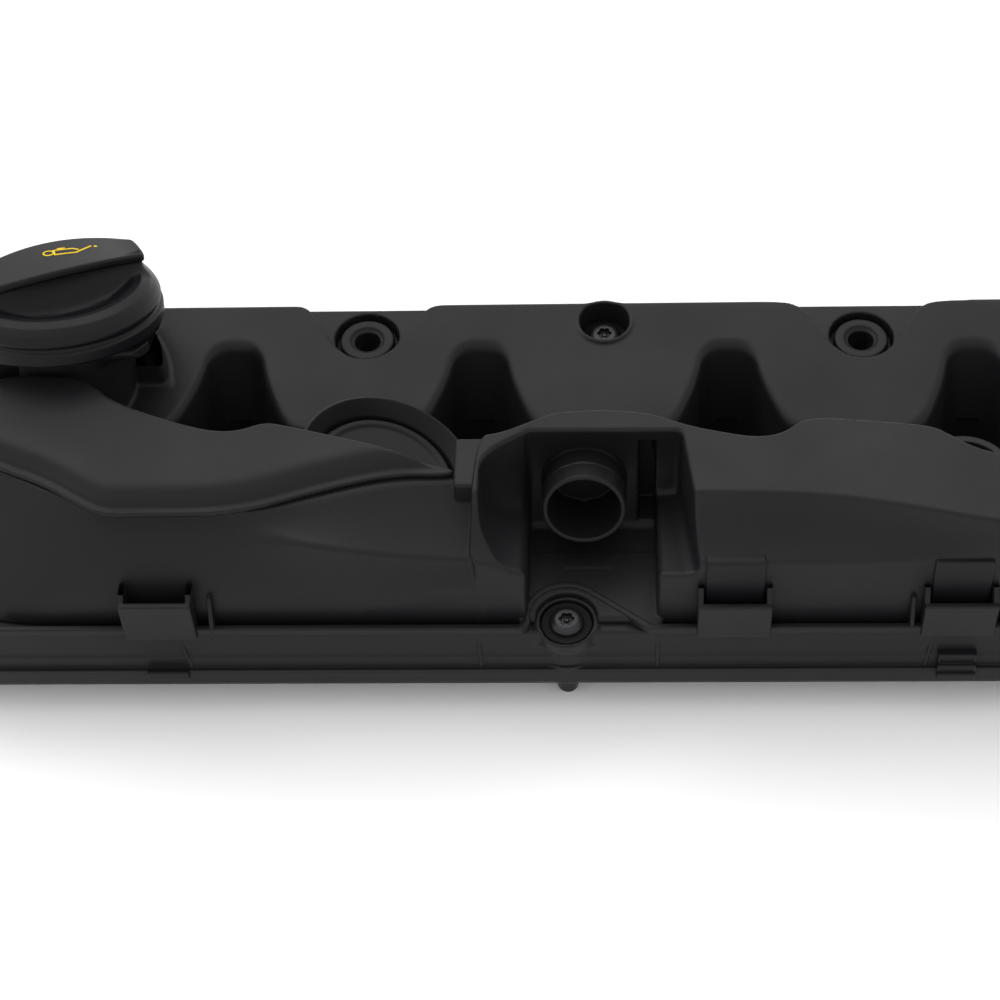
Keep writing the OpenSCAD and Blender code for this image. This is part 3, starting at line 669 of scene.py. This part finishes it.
def symbol_field(x, y, z):
    """Outlined oil can with a handle, a spout and one drop."""
    nx, ny, nz = to_neck(x, y, z)
    c, s = math.cos(math.radians(20)), math.sin(math.radians(20))
    u, v = c * (nx - 4) + s * (ny - 4), -s * (nx - 4) + c * (ny - 4)
    lines = (((-4, -1.8), (3.2, -1.8)), ((3.2, -1.8), (8.8, 2.6)), ((-4, -1.8), (-4, 1.6)),
             ((-4, 1.6), (2.4, 1.6)), ((2.4, 1.6), (4.2, 0.4)), ((-1.4, 1.6), (-1.4, 2.6)),
             ((-2.4, 2.6), (-0.2, 2.6)))
    d = np.full_like(x, 1e3)
    for a, b in lines:
        d = np.minimum(d, stroke(u, v, a, b, 0.34))
    ring = np.abs(np.sqrt((u + 5.9) ** 2 + (v - 0.1) ** 2) - 1.7) - 0.3
    drop = np.sqrt((u - 10.3) ** 2 + (v - 2.2) ** 2) - 0.6
    along = math.cos(HANDLE_TURN) * nx + math.sin(HANDLE_TURN) * ny
    return np.maximum(np.minimum(np.minimum(d, ring), drop), slab(nz + along * along / 240, 16.6, 17.08))


LOOPS = ((-160.0, -136.0, -78.8, 42.0), (30.5, 55.0, -78.4, 40.0), (105.0, 129.5, -78.4, 40.0))


def loops_field(x, y, z):
    """Open receptacles on the front wall and the ribs beside two of them."""
    d = np.full_like(x, 1e3)
    for x0, x1, y0, top in LOOPS:
        box = bar(x, y, z, (x0, y0, 23.6), (x1, -66, top + 10), 0.7)
        box = smax(box, (z - top - 1.1 * np.maximum(y - y0 - 2, 0)) * 0.7, 0.6)
        inside = np.maximum(np.maximum(x0 + 1.9 - x, x - x1 + 1.9), y0 + 2.2 - y)
        d = np.minimum(d, smax(box, -np.maximum(inside, 26 - z), 0.5))
    for cx in (-131.0, 102.0):
        rib = bar(x, y, z, (cx - 0.8, -77.6, 24), (cx + 0.8, -66, 38.6), 0.5)
        d = np.minimum(d, smax(rib, -(y + 77.4) + 0.33 * (z - 26), 0.5))
    return np.maximum(d, lower_wall(y, z) * -1 - 1.2)


def tongue_field(x, y, z):
    """Snap tongues that lie on the chamber's front wall inside the two right loops."""
    d = np.full_like(x, 1e3)
    for x0, x1, _, _ in LOOPS[1:]:
        skin = np.maximum(x0 + 2.6 - x, x - x1 + 2.6)
        face = right_chamber(x, y, z)
        blade = smax(smax(np.abs(face - 0.25) - 1.05, skin, 0.5), slab(z, 29, 55.2), 0.5)
        d = np.minimum(d, np.maximum(blade, y + 60))
    return d


def clip_field(x, y, z):
    """The gasket's stepped clip and its small tab on the flange's front edge."""
    low = bar(x, y, z, (112, -82.5, 3.6), (125, -79.4, 7.4), 0.4)
    middle = bar(x, y, z, (112, -81.4, 7.4), (125, -77, 10.8), 0.4)
    high = bar(x, y, z, (112, -79.9, 10.8), (125, -75.5, 15), 0.4)
    tab = bar(x, y, z, (-155, -81.5, 4.2), (-141, -79.4, 8.4), 0.4)
    return np.minimum(np.minimum(low, middle), np.minimum(high, tab))


def weld_lip(x, y, z):
    """Raised lip where the chamber is welded to the cover."""
    band = np.maximum(np.abs(foot_plan(x, y)) - 1.1, np.abs(x) - 204)
    return smax(smax(band, slab(z, 24.0, 27.6), 0.6), y + 57, 0.6)


def front_ribs(x, y, z):
    """Thin ribs on the band between the flange and the weld lip."""
    d = np.full_like(x, 1e3)
    for cx, lean in ((-140, 0.22), (-42, 0.05), (17.5, 0.0), (108, -0.15)):
        rib = np.abs(x - cx + lean * (z - 8)) - 0.8
        rib = smax(rib, -(y + 79.3) + 0.19 * (z - 7), 0.5)
        d = np.minimum(d, np.maximum(rib, np.maximum(slab(z, 6.5, 23.2), y + 74)))
    return d


def flange_rims(x, y, z):
    """Thin ridges along the flange: one at the edge and one at the foot of the wall."""
    edge = rounded_rect(*FLANGE_EDGE, x, y)
    outer = np.maximum(np.abs(edge + 0.8) - 0.8, slab(z, 6.5, 7.9))
    foot = rounded_rect(*WALL_FOOT, x, y)
    for p in FRONT_BOLTS:
        foot = smin(foot, disc(x, y, p, 7.6), 2.0)
    inner = np.maximum(np.abs(foot - 0.15) - 0.55, slab(z, 6.5, 9.0))
    return smin(outer, inner, 0.2)


# ---------- materials ----------
def mixed(nodes, links, scale, detail, low, high, socket, vector):
    """Drives a shader socket with noise that runs between two values."""
    noise = nodes.new("ShaderNodeTexNoise")
    noise.inputs["Scale"].default_value = scale
    noise.inputs["Detail"].default_value = detail
    spread = nodes.new("ShaderNodeMapRange")
    spread.inputs["From Min"].default_value = 0.35
    spread.inputs["From Max"].default_value = 0.65
    spread.inputs["To Min"].default_value = low
    spread.inputs["To Max"].default_value = high
    links.new(vector, noise.inputs["Vector"])
    links.new(noise.outputs["Fac"], spread.inputs["Value"])
    links.new(spread.outputs["Result"], socket)


def surfaced(name, colour, rough, grain, relief, metal=0.0, worn=1.25):
    """A material with fine grain, slow changes of roughness and a slightly worn tint."""
    material = bpy.data.materials.new(name)
    material.use_nodes = True
    nodes, links = material.node_tree.nodes, material.node_tree.links
    shader = nodes["Principled BSDF"]
    shader.inputs["Metallic"].default_value = metal
    shader.inputs["Specular IOR Level"].default_value = 0.16
    place_at = nodes.new("ShaderNodeTexCoord").outputs["Object"]
    mixed(nodes, links, 28, 4, rough - 0.05, rough + 0.05, shader.inputs["Roughness"], place_at)
    tint = nodes.new("ShaderNodeMix")
    tint.data_type = "RGBA"
    tint.inputs["A"].default_value = (*colour, 1)
    tint.inputs["B"].default_value = (*[min(1, c * worn) for c in colour], 1)
    mixed(nodes, links, 9, 6, 0.0, 1.0, tint.inputs["Factor"], place_at)
    links.new(tint.outputs["Result"], shader.inputs["Base Color"])
    noise = nodes.new("ShaderNodeTexNoise")
    noise.inputs["Scale"].default_value = grain
    noise.inputs["Detail"].default_value = 3
    bump = nodes.new("ShaderNodeBump")
    bump.inputs["Strength"].default_value = relief
    bump.inputs["Distance"].default_value = 0.0002
    links.new(place_at, noise.inputs["Vector"])
    links.new(noise.outputs["Fac"], bump.inputs["Height"])
    links.new(bump.outputs["Normal"], shader.inputs["Normal"])
    return material


cover_plastic = surfaced("cover_plastic", (0.0082, 0.0082, 0.0092), 0.42, 1500, 0.28)
cap_plastic = surfaced("cap_plastic", (0.0045, 0.0045, 0.0055), 0.38, 1500, 0.14)
inner_plastic = surfaced("inner_plastic", (0.006, 0.006, 0.007), 0.42, 1300, 0.16)
seal_rubber = surfaced("seal_rubber", (0.004, 0.004, 0.0042), 0.7, 900, 0.35)
bolt_steel = surfaced("bolt_steel", (0.03, 0.03, 0.032), 0.36, 700, 0.2, metal=0.8)
spring_steel = surfaced("spring_steel", (0.42, 0.42, 0.43), 0.3, 600, 0.1, metal=1.0)
symbol_yellow = surfaced("symbol_yellow", (0.72, 0.5, 0.02), 0.5, 900, 0.05, worn=0.9)

MATERIALS = {"cover_plastic": cover_plastic, "cap_plastic": cap_plastic, "inner_plastic": inner_plastic,
             "seal_rubber": seal_rubber, "bolt_steel": bolt_steel, "spring_steel": spring_steel,
             "symbol_yellow": symbol_yellow}


# ---------- pieces ----------
def repeated(field, points):
    """The same field at several places, kept apart by at least 40 mm."""
    def all_of(x, y, z):
        nearest = np.full_like(x, 1e9)
        dx, dy = x.copy(), y.copy()
        for px, py in points:
            away = (x - px) ** 2 + (y - py) ** 2
            closer = away < nearest
            dx = np.where(closer, x - px, dx)
            dy = np.where(closer, y - py, dy)
            nearest = np.minimum(nearest, away)
        return field(dx, dy, z)
    return all_of


def around(points, r, z0, z1):
    """Box that holds a disc of radius r at every point."""
    xs, ys = [p[0] for p in points], [p[1] for p in points]
    return (min(xs) - r, min(ys) - r, z0), (max(xs) + r, max(ys) + r, z1)


fine = 0.5
moulded("base_shell", base_field, (-238, -84, -1), (234, 72, 53), CELL, "cover", cover_plastic,
        ["base_cover"], "cover_plastic")
moulded("housing_shell", housing_field, (-218, -80, 22), (212, 4, 75), CELL, "cover", cover_plastic,
        ["separator_housing"], "cover_plastic")
moulded("lid_shell", lid_field, (-218, -63, 62), (-46, 2, 74), min(CELL, 0.7), "cover", cover_plastic,
        ["duct_lid"], "cover_plastic")
moulded("weld_lip", weld_lip, (-216, -79, 22.5), (210, -56, 29), fine, "cover", cover_plastic, [],
        "cover_plastic")
moulded("front_ribs", front_ribs, (-150, -81, 5), (120, -72, 25), fine, "cover", cover_plastic, [],
        "cover_plastic")
moulded("flange_rims", flange_rims, (-236, -82, 6), (232, 70, 10), fine, "cover", cover_plastic, [],
        "cover_plastic")
moulded("pipe", pipe_field, (-26, -50, 26), (12, -26, 70), fine, "cover", cover_plastic,
        ["breather_pipe"], "cover_plastic")
moulded("valve_dish", valve_field, (-106, -62, 34), (-40, 6, 68), fine, "cover", cover_plastic,
        ["valve_cap"], "cover_plastic")
moulded("relief_dish", relief_field, (104, -48, 22), (140, -12, 58), fine, "cover", cover_plastic,
        ["relief_cap"], "cover_plastic")
moulded("loops", loops_field, (-162, -81, 22), (133, -64, 44), fine, "cover", cover_plastic,
        ["harness_loops"], "cover_plastic")
moulded("tongues", tongue_field, (28, -80, 27), (132, -58, 60), fine, "cover", inner_plastic,
        ["snap_tongues"], "inner_plastic")
moulded("clips", clip_field, (-158, -84, 2), (128, -74, 17), fine, "cover", inner_plastic,
        ["gasket_clips"], "inner_plastic")
moulded("bushes", repeated(bush_field, BUSHES), *around(BUSHES, 11, 30, 46), fine, "cover", inner_plastic,
        ["mount_bushes"], "inner_plastic")
moulded("neck", neck_field, (-220, -24, 24), (-156, 60, 82), fine, "cover", cover_plastic,
        ["filler_neck"], "cover_plastic")
for name, node, points, seat in (("bolts_front", "front_bolts", FRONT_BOLTS, LOW_HEAD),
                                 ("bolts_rear", "rear_bolts", REAR_BOLTS, HIGH_HEAD),
                                 ("bolts_end", "end_bolts", END_BOLTS, LOW_HEAD)):
    low, high = around(points, 9, -15.4, seat + 9)
    moulded(name, repeated(bolt_field(seat), points), low, high, fine * 0.8, "cover", bolt_steel,
            [node], "bolt_steel")
moulded("cap_body", cap_field, (-226, -14, 60), (-150, 68, 104), fine, "cap", cap_plastic,
        ["oil_cap"], "cap_plastic")
moulded("cap_symbol", symbol_field, (-200, 18, 86), (-172, 48, 99), 0.25, "cap", symbol_yellow,
        ["oil_symbol"], "symbol_yellow")

KEPT = {"baffle_plate": "inner_plastic", "cyclone_block": "inner_plastic", "drain_valve": "seal_rubber",
        "valve_cup": "inner_plastic", "valve_plate": "spring_steel", "valve_spring": "spring_steel",
        "valve_diaphragm": "seal_rubber", "perimeter_gasket": "seal_rubber", "injector_seals": "seal_rubber",
        "front_sleeves": "bolt_steel", "rear_sleeves": "bolt_steel", "bolt_grommets": "seal_rubber",
        "cap_seal": "seal_rubber", "cap_plug": "inner_plastic"}
for node, slot in KEPT.items():
    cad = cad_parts[node]
    cad.data.materials.clear()
    cad.data.materials.append(MATERIALS[slot])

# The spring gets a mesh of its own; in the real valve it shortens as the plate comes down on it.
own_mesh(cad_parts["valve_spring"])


# ---------- stage ----------
def lamp(name, place_at, aim, size, power):
    data = bpy.data.lights.new(name, "AREA")
    data.shape = "RECTANGLE"
    data.size, data.size_y = size
    data.energy = power
    light = bpy.data.objects.new(name, data)
    bpy.context.scene.collection.objects.link(light)
    light.location = place_at
    light.rotation_euler = (Vector(aim) - Vector(place_at)).to_track_quat("-Z", "Y").to_euler()
    return light


def sky(direction, angle, strength):
    """Broad soft light from one direction."""
    data = bpy.data.lights.new("sky", "SUN")
    data.angle = angle
    data.energy = strength
    light = bpy.data.objects.new("sky", data)
    bpy.context.scene.collection.objects.link(light)
    light.rotation_euler = Vector(direction).to_track_quat("Z", "Y").to_euler()
    return light


def pale_floor(z):
    mesh = bpy.data.meshes.new("floor")
    mesh.from_pydata([(-4, -4, z), (4, -4, z), (4, 4, z), (-4, 4, z)], [], [(0, 1, 2, 3)])
    floor = bpy.data.objects.new("floor", mesh)
    bpy.context.scene.collection.objects.link(floor)
    material = bpy.data.materials.new("floor_white")
    material.use_nodes = True
    shader = material.node_tree.nodes["Principled BSDF"]
    shader.inputs["Base Color"].default_value = (0.9, 0.9, 0.9, 1)
    shader.inputs["Roughness"].default_value = 0.95
    mesh.materials.append(material)
    return floor


def camera():
    """Long lens, 51 degrees above the horizon, a little to the right of the frame's middle."""
    pitch = math.radians(51)
    roll = math.radians(0.2)
    aim = Vector((0, math.cos(pitch), -math.sin(pitch)))
    right = Vector((1, 0, 0))
    up = right.cross(aim)
    up = up * math.cos(roll) + right * math.sin(roll)
    right = aim.cross(up)
    data = bpy.data.cameras.new("camera")
    data.sensor_width = 36
    data.lens = 82.8
    data.shift_x = -0.105
    data.clip_start = 0.01
    data.clip_end = 20
    view = bpy.data.objects.new("camera", data)
    bpy.context.scene.collection.objects.link(view)
    turn = Matrix((right, up, -aim)).transposed().to_4x4()
    view.matrix_world = Matrix.Translation((0, -0.5253, 0.6488)) @ turn
    return view


stage_floor = pale_floor(cad_bounds[0][2] - 0.0005)
key = lamp("key", (-0.3, 0.75, 1.3), (0, 0, 0), (2.0, 0.6), 7)
fill = sky((-0.35, 0.5, 1.0), math.radians(75), 0.55)
view = camera()

scene = bpy.context.scene
scene.camera = view
scene.view_settings.view_transform = "Standard"
world = bpy.data.worlds.new("studio")
world.use_nodes = True
world.node_tree.nodes["Background"].inputs["Color"].default_value = (1, 1, 1, 1)
world.node_tree.nodes["Background"].inputs["Strength"].default_value = 1.1
scene.world = world
